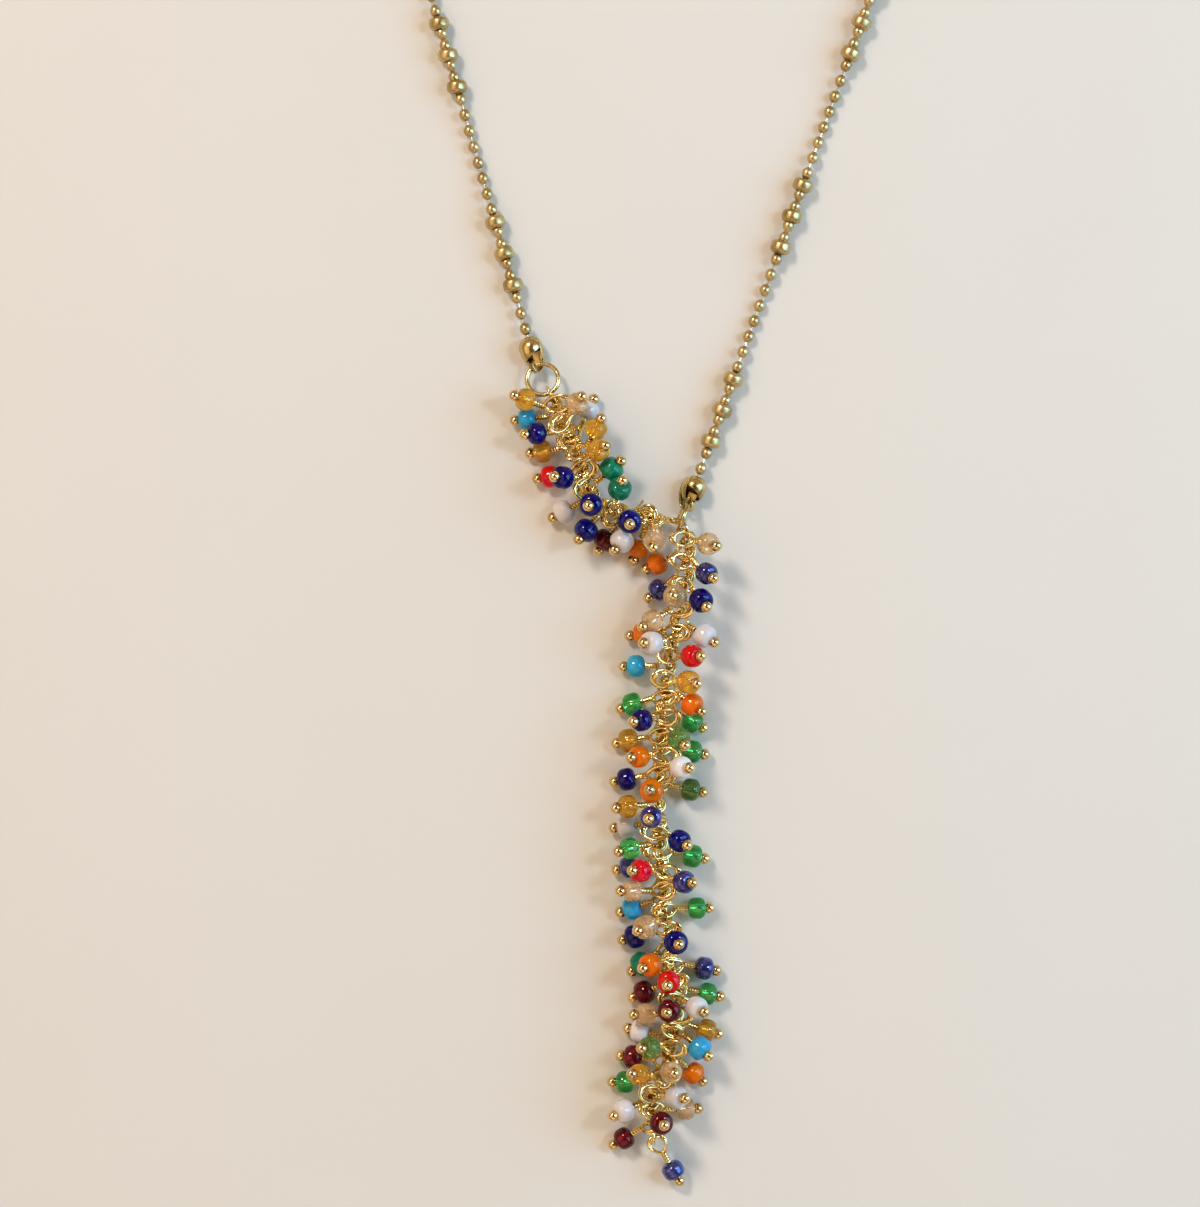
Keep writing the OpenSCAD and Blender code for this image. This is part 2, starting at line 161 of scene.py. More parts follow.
# A frame at a place with Z along one way and X as near as it can be to another
def aim(place, along, across=up, stretch=1.0):
    z = Vector(along).normalized()
    x = Vector(across) - z * z.dot(Vector(across))
    if x.length < 1e-3:
        x = Vector((1, 0, 0)) - z * z.x
    x.normalize()
    turn = Matrix((x, z.cross(x), z)).transposed().to_4x4()
    turn.translation = Vector(place)
    return turn @ Matrix.Diagonal((1, 1, stretch, 1))


def copyTo(model, where):
    copy = bpy.data.objects.new(model.name, model.data.copy())
    copy.data.transform(Matrix.Scale(mm, 4) @ where)
    bpy.context.collection.objects.link(copy)
    return copy


# Joins the copies into the finished piece that stands for a CAD node
def finishPiece(name, parts, node, finishes):
    piece = join(parts)
    piece.name = name
    piece.data.name = name
    while len(piece.data.materials) < len(finishes):
        piece.data.materials.append(None)
    for i, finish in enumerate(finishes):
        piece.data.materials[i] = finish
    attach(piece, "root")
    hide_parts(node)


# Stand-ins for the finishes of a piece that has two, which finishPiece exchanges for the real ones
firstFinish = bpy.data.materials.new("firstFinish")
secondFinish = bpy.data.materials.new("secondFinish")


# Gives each face of a model its stand-in. Every model of a piece with two finishes goes through this
def splitFinish(part, isSecond):
    part.data.materials.append(firstFinish)
    part.data.materials.append(secondFinish)
    for face in part.data.polygons:
        face.material_index = 1 if isSecond(face.center) else 0


# Finishes a CAD node that stays as it is
def dress(node, finish):
    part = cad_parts[node]
    part.data.materials.clear()
    part.data.materials.append(finish)


def centreOf(node):
    low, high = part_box(node)
    return (low + high) / 2 / mm


# Points of each separate solid of a CAD node, in millimetres
def solidsOf(node):
    selectNothing()
    copy = bpy.data.objects.new("reading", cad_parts[node].data.copy())
    bpy.context.collection.objects.link(copy)
    selectOnly([copy])
    bpy.ops.object.mode_set(mode="EDIT")
    bpy.ops.mesh.select_all(action="SELECT")
    bpy.ops.mesh.remove_doubles(threshold=1e-6)  # in metres here
    bpy.ops.mesh.separate(type="LOOSE")
    bpy.ops.object.mode_set(mode="OBJECT")
    parts = list(bpy.context.selected_objects)
    clouds = []
    for part in parts:
        points = np.empty(len(part.data.vertices) * 3)
        part.data.vertices.foreach_get("co", points)
        clouds.append(points.reshape(-1, 3) / mm)
    for part in parts:
        bpy.data.objects.remove(part)
    return clouds


# Middle and axis of a round solid
def middleAndAxis(points):
    spread = np.cov((points - points.mean(axis=0)).T)
    sizes, ways = np.linalg.eigh(spread)
    odd = 0 if sizes[1] - sizes[0] > sizes[2] - sizes[1] else 2
    reach = points @ ways
    middle = ways @ ((reach.min(axis=0) + reach.max(axis=0)) / 2)
    return Vector(middle), Vector(ways[:, odd])


# Node groups that the finishes share

def newGroup(name, inputs, outputs):
    group = bpy.data.node_groups.new(name, "ShaderNodeTree")
    for label, kind, value in inputs:
        socket = group.interface.new_socket(label, in_out="INPUT", socket_type="NodeSocket" + kind)
        socket.default_value = value
    for label, kind in outputs:
        group.interface.new_socket(label, in_out="OUTPUT", socket_type="NodeSocket" + kind)
    nodes = group.nodes
    return group, nodes.new("NodeGroupInput"), nodes.new("NodeGroupOutput")


def addNode(tree, kind, **values):
    node = tree.nodes.new("ShaderNode" + kind)
    for key, value in values.items():
        if key in node.inputs:
            node.inputs[key].default_value = value
        else:
            setattr(node, key, value)
    return node


# Links a socket to another, or gives it a plain value
def feed(tree, socket, source):
    if isinstance(source, bpy.types.NodeSocket):
        tree.links.new(source, socket)
    else:
        socket.default_value = source


def mixColours(tree, share, first, second):
    mix = addNode(tree, "Mix", data_type="RGBA")
    for key, source in (("Factor", share), (6, first), (7, second)):
        feed(tree, mix.inputs[key], source)
    return mix.outputs[2]


def noise(tree, place, scale, detail):
    cloud = addNode(tree, "TexNoise", Scale=scale, Detail=detail)
    tree.links.new(place, cloud.inputs["Vector"])
    return cloud.outputs["Fac"]


# Carries a value from one span over to another
def spanned(tree, source, before, after):
    ramp = addNode(tree, "MapRange")
    labels = ("Value", "From Min", "From Max", "To Min", "To Max")
    for label, value in zip(labels, (source, *before, *after)):
        feed(tree, ramp.inputs[label], value)
    return ramp.outputs["Result"]


def summed(tree, first, second):
    total = addNode(tree, "Math", operation="ADD")
    tree.links.new(first, total.inputs[0])
    tree.links.new(second, total.inputs[1])
    return total.outputs[0]


wear = {
    "patches": (420.0, 3.0),  # cycles to the metre, and detail
    "scratches": (5200.0, 4.0),
    "ripple": (1500.0, 1.0),
    "patchEdge": (0.42, 0.66),  # noise at which a patch begins and is full
    "scratchEdge": (0.45, 0.75),
    "scratchDull": 0.25,  # share of the dull tone in a scratch
    "scratchRelief": 0.25,
    "scratchRough": (-0.03, 0.12),
}


# Gold plating that darkens to olive in patches, with fine scratches and a hammered ripple
def makePlatingGroup():
    group, given, out = newGroup(
        "platingTone",
        [("Bright", "Color", (0.9, 0.7, 0.3, 1)), ("Dull", "Color", (0.4, 0.3, 0.1, 1)),
         ("Tarnish", "Float", 0.4), ("Polish", "Float", 0.2)],
        [("Color", "Color"), ("Roughness", "Float"), ("Height", "Float")])
    place = addNode(group, "TexCoord").outputs["Object"]
    patches, scratches, ripple = [
        noise(group, place, *wear[key]) for key in ("patches", "scratches", "ripple")]
    worn = spanned(group, patches, wear["patchEdge"], (0.0, given.outputs["Tarnish"]))
    colour = mixColours(group, worn, given.outputs["Bright"], given.outputs["Dull"])
    scratched = spanned(group, scratches, wear["scratchEdge"], (0.0, wear["scratchDull"]))
    speckled = mixColours(group, scratched, colour, given.outputs["Dull"])
    rough = spanned(group, scratches, (0.3, 0.8), wear["scratchRough"])
    height = addNode(group, "Math", operation="MULTIPLY_ADD")
    for i, source in enumerate((scratches, wear["scratchRelief"], ripple)):
        feed(group, height.inputs[i], source)
    group.links.new(speckled, out.inputs["Color"])
    group.links.new(summed(group, given.outputs["Polish"], rough), out.inputs["Roughness"])
    group.links.new(height.outputs[0], out.inputs["Height"])
    return group


pressing = {
    "batch": (160.0, 1.0),  # cycles to the metre of the change from bead to bead, and detail
    "swirl": (900.0, 2.0),
    "pits": (2600.0, 2.0),
    "batchSpan": (0.3, 0.7),
    "swirlSpan": (0.4, 0.7),
    "lightness": (0.82, 1.14),
    "hue": (0.508, 0.492),
    "pitRough": 0.06,
}


# Pressed glass: each bead a little lighter or darker, with streaks inside it
def makeGlassGroup():
    group, given, out = newGroup(
        "glassTone",
        [("Body", "Color", (0.1, 0.3, 0.8, 1)), ("Streak", "Color", (0.2, 0.5, 0.9, 1)),
         ("Streaks", "Float", 0.4), ("Polish", "Float", 0.05)],
        [("Color", "Color"), ("Roughness", "Float"), ("Height", "Float")])
    place = addNode(group, "TexCoord").outputs["Object"]
    batch, swirl, pits = [
        noise(group, place, *pressing[key]) for key in ("batch", "swirl", "pits")]
    streaked = spanned(group, swirl, pressing["swirlSpan"], (0.0, given.outputs["Streaks"]))
    colour = mixColours(group, streaked, given.outputs["Body"], given.outputs["Streak"])
    shade = addNode(group, "HueSaturation")
    group.links.new(colour, shade.inputs["Color"])
    for label, key in (("Value", "lightness"), ("Hue", "hue")):
        varied = spanned(group, batch, pressing["batchSpan"], pressing[key])
        group.links.new(varied, shade.inputs[label])
    rough = spanned(group, pits, (0.4, 0.8), (0.0, pressing["pitRough"]))
    group.links.new(shade.outputs["Color"], out.inputs["Color"])
    group.links.new(summed(group, given.outputs["Polish"], rough), out.inputs["Roughness"])
    group.links.new(pits, out.inputs["Height"])
    return group


platingTone = makePlatingGroup()
glassTone = makeGlassGroup()


# A finish from one of the groups. Bump is its strength and its depth in millimetres
def newFinish(name, group, values, bump, **constants):
    finish = bpy.data.materials.new(name)
    finish.use_nodes = True
    tree = finish.node_tree
    shader = tree.nodes["Principled BSDF"]
    tone = tree.nodes.new("ShaderNodeGroup")
    tone.node_tree = group
    for label, value in values.items():
        tone.inputs[label].default_value = value
    tree.links.new(tone.outputs["Color"], shader.inputs["Base Color"])
    tree.links.new(tone.outputs["Roughness"], shader.inputs["Roughness"])
    relief = addNode(tree, "Bump", Strength=bump[0], Distance=bump[1] * mm)
    tree.links.new(tone.outputs["Height"], relief.inputs["Height"])
    tree.links.new(relief.outputs["Normal"], shader.inputs["Normal"])
    for label, value in constants.items():
        shader.inputs[label.replace("_", " ")].default_value = value
    return finish


def plating(name, bright, dull, tarnish, polish, bump):
    return newFinish(
        name, platingTone,
        {"Bright": (*bright, 1), "Dull": (*dull, 1), "Tarnish": tarnish, "Polish": polish},
        (bump, 0.03), Metallic=1.0)


# Bright and dull tone, tarnish, roughness and strength of the relief
antiqueGold = plating("antiqueGold", (0.68, 0.545, 0.32), (0.36, 0.26, 0.10), 0.5, 0.31, 0.06)
wireSilver = plating("wireSilver", (0.80, 0.73, 0.60), (0.50, 0.42, 0.28), 0.3, 0.25, 0.05)
rondelleGold = plating("rondelleGold", (0.67, 0.535, 0.29), (0.32, 0.23, 0.09), 0.6, 0.33, 0.06)
findingGold = plating("findingGold", (0.69, 0.54, 0.26), (0.28, 0.20, 0.08), 0.45, 0.21, 0.06)
brightGold = plating("brightGold", (1.0, 0.82, 0.44), (0.62, 0.37, 0.09), 0.35, 0.14, 0.05)
headGold = plating("headGold", (0.86, 0.68, 0.38), (0.46, 0.32, 0.15), 0.5, 0.08, 0.04)
chainGold = plating("chainGold", (1.0, 0.79, 0.35), (0.60, 0.35, 0.08), 0.4, 0.15, 0.05)
liningSilver = plating("liningSilver", (0.95, 0.90, 0.80), (0.6, 0.5, 0.35), 0.3, 0.12, 0.05)


def glass(name, body, streak, streaks, clear=0.0, **constants):
    return newFinish(
        name, glassTone,
        {"Body": (*body, 1), "Streak": (*streak, 1), "Streaks": streaks, "Polish": 0.05},
        (0.03, 0.01), Transmission_Weight=clear, IOR=1.52, **constants)


# Body, streaks, how much of them shows, and how clear the glass is
glassFinishes = {
    "sky": glass("skyGlass", (0.03, 0.36, 0.66), (0.08, 0.50, 0.78), 0.4),
    "navy": glass("navyGlass", (0.0, 0.001, 0.12), (0.0, 0.006, 0.36), 0.4),
    "steel": glass(
        "steelGlass", (0.02, 0.03, 0.20), (0.16, 0.14, 0.45), 0.6, Metallic=0.45, Coat_Weight=1.0),
    "red": glass("redGlass", (0.62, 0.001, 0.006), (0.85, 0.01, 0.01), 0.4),
    "garnet": glass("garnetGlass", (0.10, 0.0, 0.008), (0.45, 0.0, 0.02), 0.45, 0.3),
    "teal": glass("tealGlass", (0.0, 0.20, 0.12), (0.01, 0.31, 0.19), 0.5),
    "green": glass("greenGlass", (0.06, 0.70, 0.24), (0.42, 1.0, 0.24), 0.6, 0.8),
    "olive": glass("oliveGlass", (0.24, 0.44, 0.12), (0.50, 0.62, 0.25), 0.4, 0.7),
    "orange": glass("orangeGlass", (1.0, 0.22, 0.0), (1.0, 0.36, 0.0), 0.4, 0.3),
    "amber": glass("amberGlass", (1.0, 0.55, 0.06), (1.0, 0.72, 0.18), 0.4, 0.7),
    "peach": glass("peachGlass", (1.0, 0.75, 0.47), (1.0, 0.84, 0.62), 0.25, 0.7),
    "white": glass("whiteGlass", (0.86, 0.83, 0.87), (0.93, 0.90, 0.94), 0.2, 0.2),
}
print("finishes made:", len(glassFinishes), "of them glass")

# The places of the beads and pins are read from the solids of the CAD
bead = {
    "across": 3.0,
    "length": 2.3,
    "bore": 0.8,
    "size": (0.90, 1.0),  # least and greatest of the pressed beads
    "shoulder": 0.86,  # rounding of the outer edges
    "lip": (0.06, 0.08),  # width and depth of the chamfer round the bore
    "lined": ("green", "amber", "orange", "peach"),  # colours whose bore is silvered
    "toHead": 1.575,  # from its middle to the middle of the pin's head
    "toLoop": 2.67,  # from its middle back to the pin's loop
}
reading = {
    "headRadii": (0.6, 0.78),  # distances from the bead's axis between which the head's points lie
    "headReach": 0.3,  # how far along the axis they are from the middle of the head at most
    "ringBehind": 0.3,  # how far behind the neck the points of the loop begin
}

beadPlaces = []
for colour in glassFinishes:
    for points in solidsOf("beads_" + colour):
        middle, axis = middleAndAxis(points)
        beadPlaces.append({"colour": colour, "middle": middle, "axis": axis})
print("beads read:", len(beadPlaces))


# Middle and normal of a ring from its points
def fitRing(points):
    middle = points.mean(axis=0)
    ways = np.linalg.svd(points - middle, full_matrices=False)[2]
    flat = (points - middle) @ ways[:2].T
    table = np.column_stack([2 * flat, np.ones(len(flat))])
    x, y, rest = np.linalg.lstsq(table, (flat ** 2).sum(axis=1), rcond=None)[0]
    return Vector(middle + x * ways[0] + y * ways[1]), Vector(ways[2])


# Each pin belongs to the bead round which most of its head's points lie
pinPlaces = []
for points in solidsOf("head_pins"):
    best = (0, None, 1)  # points, bead, and side of the bead on which the head is
    for place in beadPlaces:
        away = points - np.array(place["middle"])
        along = away @ np.array(place["axis"])
        radial = np.sqrt(np.maximum((away ** 2).sum(axis=1) - along ** 2, 0))
        inner, outer = reading["headRadii"]
        wide = (radial > inner) & (radial < outer)
        for side in (1, -1):
            atHead = abs(along - side * bead["toHead"]) < reading["headReach"]
            count = int((wide & atHead).sum())
            if count > best[0]:
                best = (count, place, side)
    place = best[1]
    place["axis"] = place["axis"] * best[2]
    neck = place["middle"] - bead["toLoop"] * place["axis"]
    behind = (points - np.array(neck)) @ np.array(place["axis"]) < -reading["ringBehind"]
    ring, normal = fitRing(points[behind])
    pinPlaces.append({"neck": neck, "way": place["axis"], "ring": ring, "normal": normal})
print("pins read:", len(pinPlaces))

# The neck loop as it is laid in the CAD, in millimetres
necklace = {
    "spread": 17.8,  # degrees from the middle line to each side
    "turn": 2.0,  # degrees of the whole loop to the right
    "groups": 7,  # groups of three rondelles on each side
    "runBalls": 8,  # balls between two groups
    "ball": 1.4,
    "ballStretch": 1.16,  # of its neck ends, along the wire
    "ballDimple": (0.03, 0.05),  # width and depth of the rim at its bores
    "ballPitch": 2.04,
    "pairPitch": 1.6,  # between the two balls between rondelles
    "wire": 0.4,
    "wireWaist": 0.82,  # thickness in the middle, as a share
    "rondelle": (2.5, 1.6),  # across and length over the softened rims
    "rondelleRound": 0.56,  # rounding of the rims
    "rondelleDish": ((0.06, 0.1), (0.26, 0.2)),  # width and depth of each step of the dished ends
    "rondelleTilt": (11, 5),  # degrees by which a rondelle may lean sideways and forwards
    "seat": 1.25,  # from a rondelle's middle to a ball in its dish
    "step": 1.61,  # from a rondelle's middle to the first ball of a run
    "levelPast": 0.12,  # how far past that ball the chain stays up
    "fallBalls": 2.5,  # ball pitches in which it comes down
    "ballHeight": 0.7,
    "rondelleHeight": 1.25,
    "tipHeight": 1.5,
    "tipSlack": 0.43,  # from the last ball to the middle of its cup
    "tipReach": 2.73,  # from the last ball to the eye of its cup
    "backReach": 3.644,  # from that eye to the clasp
    "clasp": 7.0,
}
# For each side: way from the middle line, distance to the first rondelle, balls before and after them
sides = {
    "left": {"sign": -1, "first": 51.2, "lead": 4, "tail": 4},
    "right": {"sign": 1, "first": 31.7, "lead": 3, "tail": 6},
}
pairLength = 2 * necklace["seat"] + necklace["pairPitch"]
runLength = 2 * necklace["step"] + (necklace["runBalls"] - 1) * necklace["ballPitch"]
groupLength = 2 * pairLength + runLength
for side in sides.values():
    side["start"] = side["first"] - necklace["step"] - (side["lead"] - 1) * necklace["ballPitch"]
    side["end"] = (side["first"] + (necklace["groups"] - 1) * groupLength + 2 * pairLength
        + necklace["step"] + (side["tail"] - 1) * necklace["ballPitch"])
    side["rondelles"] = [
        side["first"] + group * groupLength + i * pairLength
        for group in range(necklace["groups"]) for i in range(3)]

spread = math.radians(necklace["spread"])
turn = math.radians(necklace["turn"])
roundLength = (sides["left"]["end"] + sides["right"]["end"] + necklace["clasp"]
    + 2 * (necklace["tipReach"] + necklace["backReach"]))
neckRadius = roundLength / 2 / (1 / math.tan(spread) + math.pi / 2 + spread)
straight = neckRadius / math.tan(spread)


# A point of the loop, turned with all of it
def turned(x, y):
    return Vector((
        x * math.cos(turn) + y * math.sin(turn),
        y * math.cos(turn) - x * math.sin(turn), 0))


# Place at a distance along a side: a straight, and then the arc behind the neck
def sideAt(sign, along):
    if along < straight:
        return turned(along * sign * math.sin(spread), along * math.cos(spread))
    arc = (along - straight) / neckRadius - spread
    return turned(
        neckRadius * sign * math.cos(arc),
        neckRadius * (math.sin(arc) + 1 / math.sin(spread)))


# The laid loop is shifted so that its rondelles lie on those of the CAD
laid = [sideAt(side["sign"], along) for side in sides.values() for along in side["rondelles"]]
found = [middleAndAxis(points)[0] for name in sides for points in solidsOf("rondelles_" + name)]
shift = (sum(found, Vector()) - sum(laid, Vector())) / len(found)
shift.z = 0
print("loop shift", [round(value, 3) for value in shift], "radius", round(neckRadius, 4))


# Share of its rise that the chain still has, away from the rondelle or bead tip that lifts it
def slope(away):
    level = necklace["step"] + necklace["levelPast"]
    fall = necklace["fallBalls"] * necklace["ballPitch"]
    if away < level:
        return 1.0
    return (1 + math.cos(math.pi * min(1, (away - level) / fall))) / 2


def chainAt(side, along):
    low = necklace["ballHeight"]
    raised = [(place, necklace["rondelleHeight"]) for place in side["rondelles"]]
    raised += [(side["start"], necklace["tipHeight"]), (side["end"], necklace["tipHeight"])]
    height = max(low + (top - low) * slope(abs(along - place)) for place, top in raised)
    point = sideAt(side["sign"], along) + shift
    return Vector((point.x, point.y, height))


# Distances of all the balls along a side, in order
def ballStops(side):
    pitch = necklace["ballPitch"]
    stops = [side["start"] + i * pitch for i in range(side["lead"])]
    for i, place in enumerate(side["rondelles"]):
        if i % 3 < 2:
            stops += [place + necklace["seat"], place + necklace["seat"] + necklace["pairPitch"]]
        else:
            last = i == len(side["rondelles"]) - 1
            count = side["tail"] if last else necklace["runBalls"]
            stops += [place + necklace["step"] + k * pitch for k in range(count)]
    return stops


# Chain balls, their wire and the rondelles

def makeChainBall():
    ball = addSphere(segments=20, ring_count=12, radius=necklace["ball"] / 2)
    pick(ball, "faces", lambda centre, normal: abs(normal.z) > 0.95)
    rim, depth = necklace["ballDimple"]
    bpy.ops.mesh.inset(thickness=rim, depth=-depth)
    pickAll(ball)
    bpy.ops.transform.resize(
        value=(1.02, 1.02, necklace["ballStretch"]), center_override=(0, 0, 0))
    smooth(ball, 50)
    splitFinish(ball, lambda centre: False)
    ball.name = "chainBall"
    return ball


# A dumb-bell of wire one millimetre long, waisted in the middle
def makeChainWire():
    wire = begin(
        bpy.ops.mesh.primitive_cylinder_add, vertices=10, radius=necklace["wire"] / 2, depth=1.0)
    pick(wire, "edges", lambda a, b: not isLevel(a, b))
    bpy.ops.mesh.subdivide(number_cuts=3)
    pick(wire, "points", lambda point: abs(point.z) < 0.3)
    waist = necklace["wireWaist"]
    bpy.ops.transform.resize(value=(waist, waist, 1), center_override=(0, 0, 0))
    bpy.ops.object.mode_set(mode="OBJECT")
    splitFinish(wire, lambda centre: True)
    smooth(wire, 50)
    wire.name = "chainWire"
    return wire


def makeRondelle():
    across, length = necklace["rondelle"]
    rondelle = begin(
        bpy.ops.mesh.primitive_cylinder_add, vertices=32, radius=across / 2, depth=length,
        end_fill_type="NGON")
    pick(rondelle, "edges", isLevel)
    bpy.ops.mesh.bevel(offset=necklace["rondelleRound"], segments=6, profile=0.5)
    pick(rondelle, "faces", isEnd)
    for width, depth in necklace["rondelleDish"]:
        bpy.ops.mesh.inset(thickness=width, depth=-depth)
    smooth(rondelle, 45)
    rondelle.name = "rondelle"
    return rondelle


ballModel = makeChainBall()
wireModel = makeChainWire()
rondelleModel = makeRondelle()
for name, side in sides.items():
    stops = ballStops(side)
    parts = []
    for along in stops:
        ahead = chainAt(side, along + 0.2) - chainAt(side, along - 0.2)
        parts.append(copyTo(ballModel, aim(chainAt(side, along), ahead)))
    for first, second in zip(stops, stops[1:]):
        a, b = chainAt(side, first), chainAt(side, second)
        parts.append(copyTo(wireModel, aim((a + b) / 2, b - a, stretch=(b - a).length)))
    finishPiece(
        "ballChain_" + name, parts, "ball_chain_" + name, [antiqueGold, wireSilver])
    parts = []
    for along in side["rondelles"]:
        point = sideAt(side["sign"], along) + shift
        point.z = necklace["rondelleHeight"]
        ahead = sideAt(side["sign"], along + 0.5) - sideAt(side["sign"], along - 0.5)
        tilts = [
            Matrix.Rotation(math.radians(most * chance.uniform(-1, 1)), 4, axis)
            for axis, most in zip("XY", necklace["rondelleTilt"])]
        parts.append(copyTo(rondelleModel, aim(point, ahead) @ tilts[0] @ tilts[1]))
    finishPiece("dishedRondelles_" + name, parts, "rondelles_" + name, [rondelleGold])
print("neck chain made")


def makeSeedBead():
    radius = bead["across"] / 2
    bore = bead["bore"] / 2
    lip, depth = bead["lip"]
    seed = begin(
        bpy.ops.mesh.primitive_cylinder_add, vertices=24, radius=radius, depth=bead["length"],
        end_fill_type="NGON")
    pick(seed, "edges", isLevel)
    bpy.ops.mesh.bevel(offset=bead["shoulder"], segments=5, profile=0.5)
    pick(seed, "faces", isEnd)
    bpy.ops.mesh.inset(thickness=radius - bead["shoulder"] - bore - lip)
    bpy.ops.mesh.inset(thickness=lip, depth=-depth)
    bpy.ops.mesh.bridge_edge_loops()
    bpy.ops.object.mode_set(mode="OBJECT")
    splitFinish(seed, lambda centre: math.hypot(centre.x, centre.y) < bore + 0.01)
    smooth(seed, 50)
    seed.name = "seedBead"
    return seed


seedModel = makeSeedBead()
for colour, finish in glassFinishes.items():
    parts = []
    for place in [place for place in beadPlaces if place["colour"] == colour]:
        size = Matrix.Scale(chance.uniform(*bead["size"]), 4)
        parts.append(copyTo(seedModel, aim(place["middle"], place["axis"]) @ size))
    lining = liningSilver if colour in bead["lined"] else finish
    finishPiece("seedBeads_" + colour, parts, "beads_" + colour, [finish, lining])
print("seed beads made")

# The head pins and their loops, in millimetres and degrees
pin = {
    "wire": 0.38,
    "loopWire": 0.44,
    "loop": 1.15,  # radius to the middle of the wire
    "turns": ((0, 0, -9), (0.13, 0.12, 16)),  # each turn's loss of radius, shift and roll
    "pinch": ((0.1, 0.4, 0.7, 0.95), 0.93),  # where it narrows towards the neck, and to what share
    "upright": 0.7,  # a loop whose normal rises less than this tips over
    "lean": 66,
    "leanVaries": 20,
    "wideEvery": 2,  # one pin in this many has a second, wide loop that rises over the chain
    "wideSteepest": 0.8,  # but only one that rises less than this
    "wideLoop": ((1.25, 1.6), (0.85, 1.05)),  # its stretch outwards and sideways
    "wideRise": (14, 32),
    "wideRoll": 28,
    "coilRadius": 0.31,
    "coilWire": 0.15,
    "coilTurns": 4,
    "coilPitch": 0.35,
    "head": 1.45,
    "foot": (0.1, 1.25),  # height and spread of the head's foot on the bead
    "tail": (0.28, 2.6),  # thickness and length of a wire end left standing
    "tailBend": ((0.35, 0.55, 0.75), 0.12),  # shares of its length at which it steps aside, and how far
    "tails": [((-4.2, -43.4, 2.7), (0.62, 0.78, 0.45)), ((1.2, -44.6, 2.6), (0.35, 0.85, 0.5))],
}


# An open loop of two turns that cross at the neck, which is on +X
def makePinLoop():
    turns = []
    reaches, narrower = pin["pinch"]
    for less, aside, roll in pin["turns"]:
        ring = begin(
            bpy.ops.mesh.primitive_torus_add, major_segments=26, minor_segments=7,
            major_radius=pin["loop"] - less, minor_radius=pin["loopWire"] / 2)
        for reach in reaches:
            pick(ring, "points", lambda point: point.x > reach)
            bpy.ops.transform.resize(value=(1, narrower, 1), center_override=(0, 0, 0))
        bpy.ops.object.mode_set(mode="OBJECT")
        ring.location.x = aside
        ring.rotation_euler.x = math.radians(roll)
        smooth(ring, 60)
        turns.append(ring)
    loop = join(turns)
    bpy.ops.object.transform_apply()
    splitFinish(loop, lambda centre: False)
    loop.name = "pinLoop"
    return loop


# The wound neck, the stem and the ball head, from the neck up along Z
def makePinShaft():
    length = bead["toLoop"] + bead["toHead"]
    coil = begin(
        bpy.ops.mesh.primitive_circle_add, vertices=6, radius=pin["coilWire"], fill_type="NGON",
        location=(pin["coilRadius"], 0, 0), rotation=(math.pi / 2, 0, 0))
    bpy.ops.object.transform_apply()
    modify(
        coil, "SCREW", angle=2 * math.pi, steps=12, render_steps=12, iterations=pin["coilTurns"],
        screw_offset=pin["coilPitch"], use_merge_vertices=False)
    outwards(coil)
    stem = begin(
        bpy.ops.mesh.primitive_cylinder_add, vertices=8, radius=pin["wire"] / 2, depth=length,
        location=(0, 0, length / 2))
    head = addSphere(
        segments=18, ring_count=12, radius=pin["head"] / 2, location=(0, 0, length))
    bpy.ops.object.transform_apply()
    low = length - pin["head"] / 2
    height, wider = pin["foot"]
    pick(head, "points", lambda point: point.z < low + height)
    bpy.ops.transform.resize(value=(wider, wider, 1), center_override=(0, 0, low))
    bpy.ops.object.mode_set(mode="OBJECT")
    for part in (stem, coil, head):
        splitFinish(part, lambda centre: part is head)
    shaft = join([stem, coil, head])
    bpy.ops.object.transform_apply()
    smooth(shaft, 50)
    shaft.name = "pinShaft"
    return shaft


# A cut end of wire that stands on the origin, with a slight curve
def makeTail():
    thick, length = pin["tail"]
    tail = begin(
        bpy.ops.mesh.primitive_cylinder_add, vertices=8, radius=thick / 2, depth=length,
        location=(0, 0, length / 2))
    bpy.ops.object.transform_apply()
    pick(tail, "edges", lambda a, b: not isLevel(a, b))
    bpy.ops.mesh.subdivide(number_cuts=4)
    shares, aside = pin["tailBend"]
    for share in shares:
        pick(tail, "points", lambda point: point.z > length * share)
        bpy.ops.transform.translate(value=(aside, 0, 0))
    smooth(tail, 50)
    splitFinish(tail, lambda centre: False)
    tail.name = "wireTail"
    return tail


loopModel = makePinLoop()
shaftModel = makePinShaft()
tailModel = makeTail()
parts = []
for i, place in enumerate(pinPlaces):
    out = (place["neck"] - place["ring"]).normalized()
    normal = place["normal"]
    if abs(normal.z) < pin["upright"]:
        lean = pin["lean"] + chance.uniform(-1, 1) * pin["leanVaries"]
        normal = normal if normal.y > 0 else -normal
        normal = Matrix.Rotation(math.radians(lean) * (1 if out.x > 0 else -1), 3, out) @ normal
    parts.append(copyTo(loopModel, aim(place["ring"], normal, out)))
    if i % pin["wideEvery"] == 0 and abs(out.z) < pin["wideSteepest"]:
        level = Vector((-out.x, -out.y, 0)).normalized()
        rise = math.radians(chance.uniform(*pin["wideRise"]))
        inwards = level * math.cos(rise) + up * math.sin(rise)
        facing = level * -math.sin(rise) + up * math.cos(rise)
        roll = Matrix.Rotation(math.radians(pin["wideRoll"] * chance.uniform(-1, 1)), 3, inwards)
        long, wide = [chance.uniform(*limits) for limits in pin["wideLoop"]]
        middle = place["neck"] + inwards * pin["loop"] * long
        where = aim(middle, roll @ facing, -inwards) @ Matrix.Diagonal((long, wide, 1, 1))
        parts.append(copyTo(loopModel, where))
    parts.append(copyTo(shaftModel, aim(place["neck"], place["way"], normal)))
parts += [copyTo(tailModel, aim(place, way)) for place, way in pin["tails"]]
